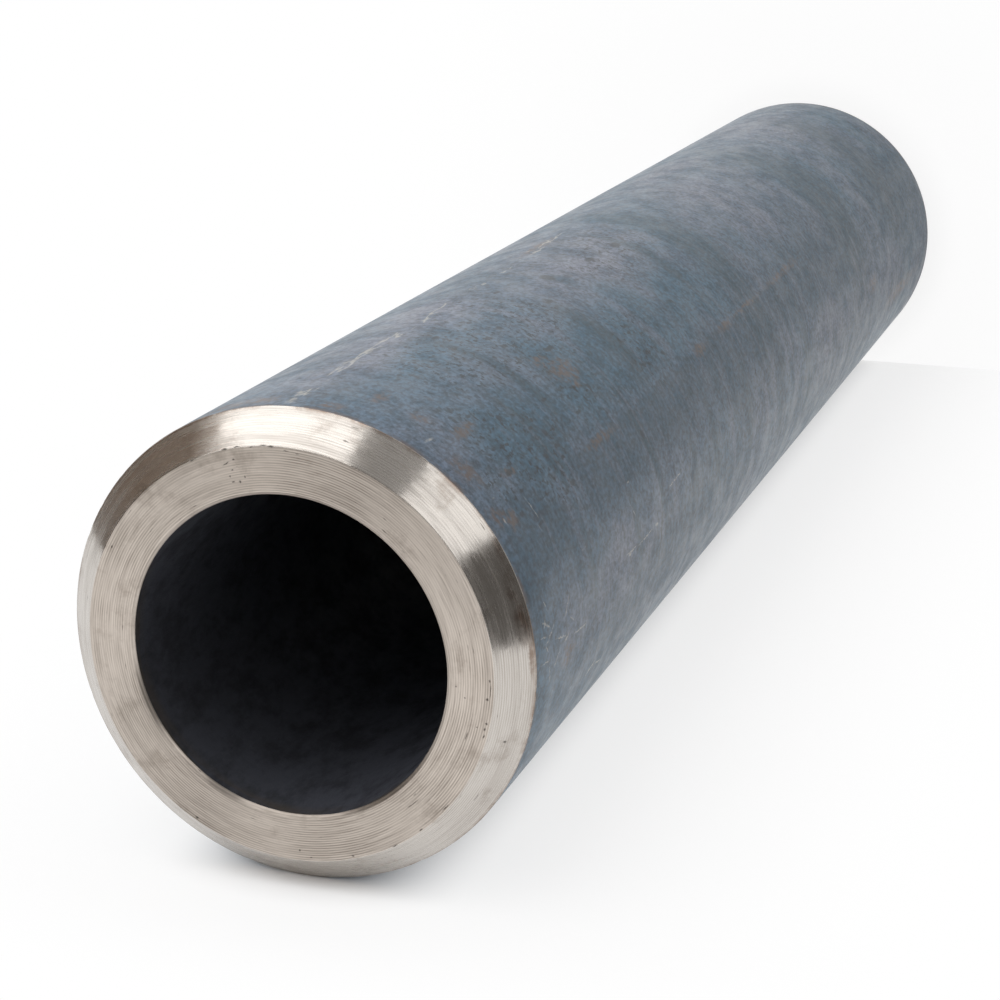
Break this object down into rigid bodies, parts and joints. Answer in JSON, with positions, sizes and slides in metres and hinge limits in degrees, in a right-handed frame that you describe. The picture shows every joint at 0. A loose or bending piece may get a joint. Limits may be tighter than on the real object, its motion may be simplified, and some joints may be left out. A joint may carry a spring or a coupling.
{
  "type": "seamless steel pipe",
  "caption": "Straight thick-walled steel pipe with a through bore, faced end faces, a wide outer bevel and a deburred bore at each end, and dark mill scale outside.",
  "frame": {"origin": "centre of the lower end face, on the pipe's axis", "axes": "+Z along the pipe's axis, from the lower end face to the upper one; X and Y are any two directions square to it"},
  "size_m": [0.076, 0.076, 0.378],
  "materials": {
    "steel": "satin blue-grey mill scale outside and in the bore, bare turned metal on the end faces, bevels and chamfers"
  },
  "bodies": {
    "root": {"pipe": "steel"}
  },
  "joints": []
}
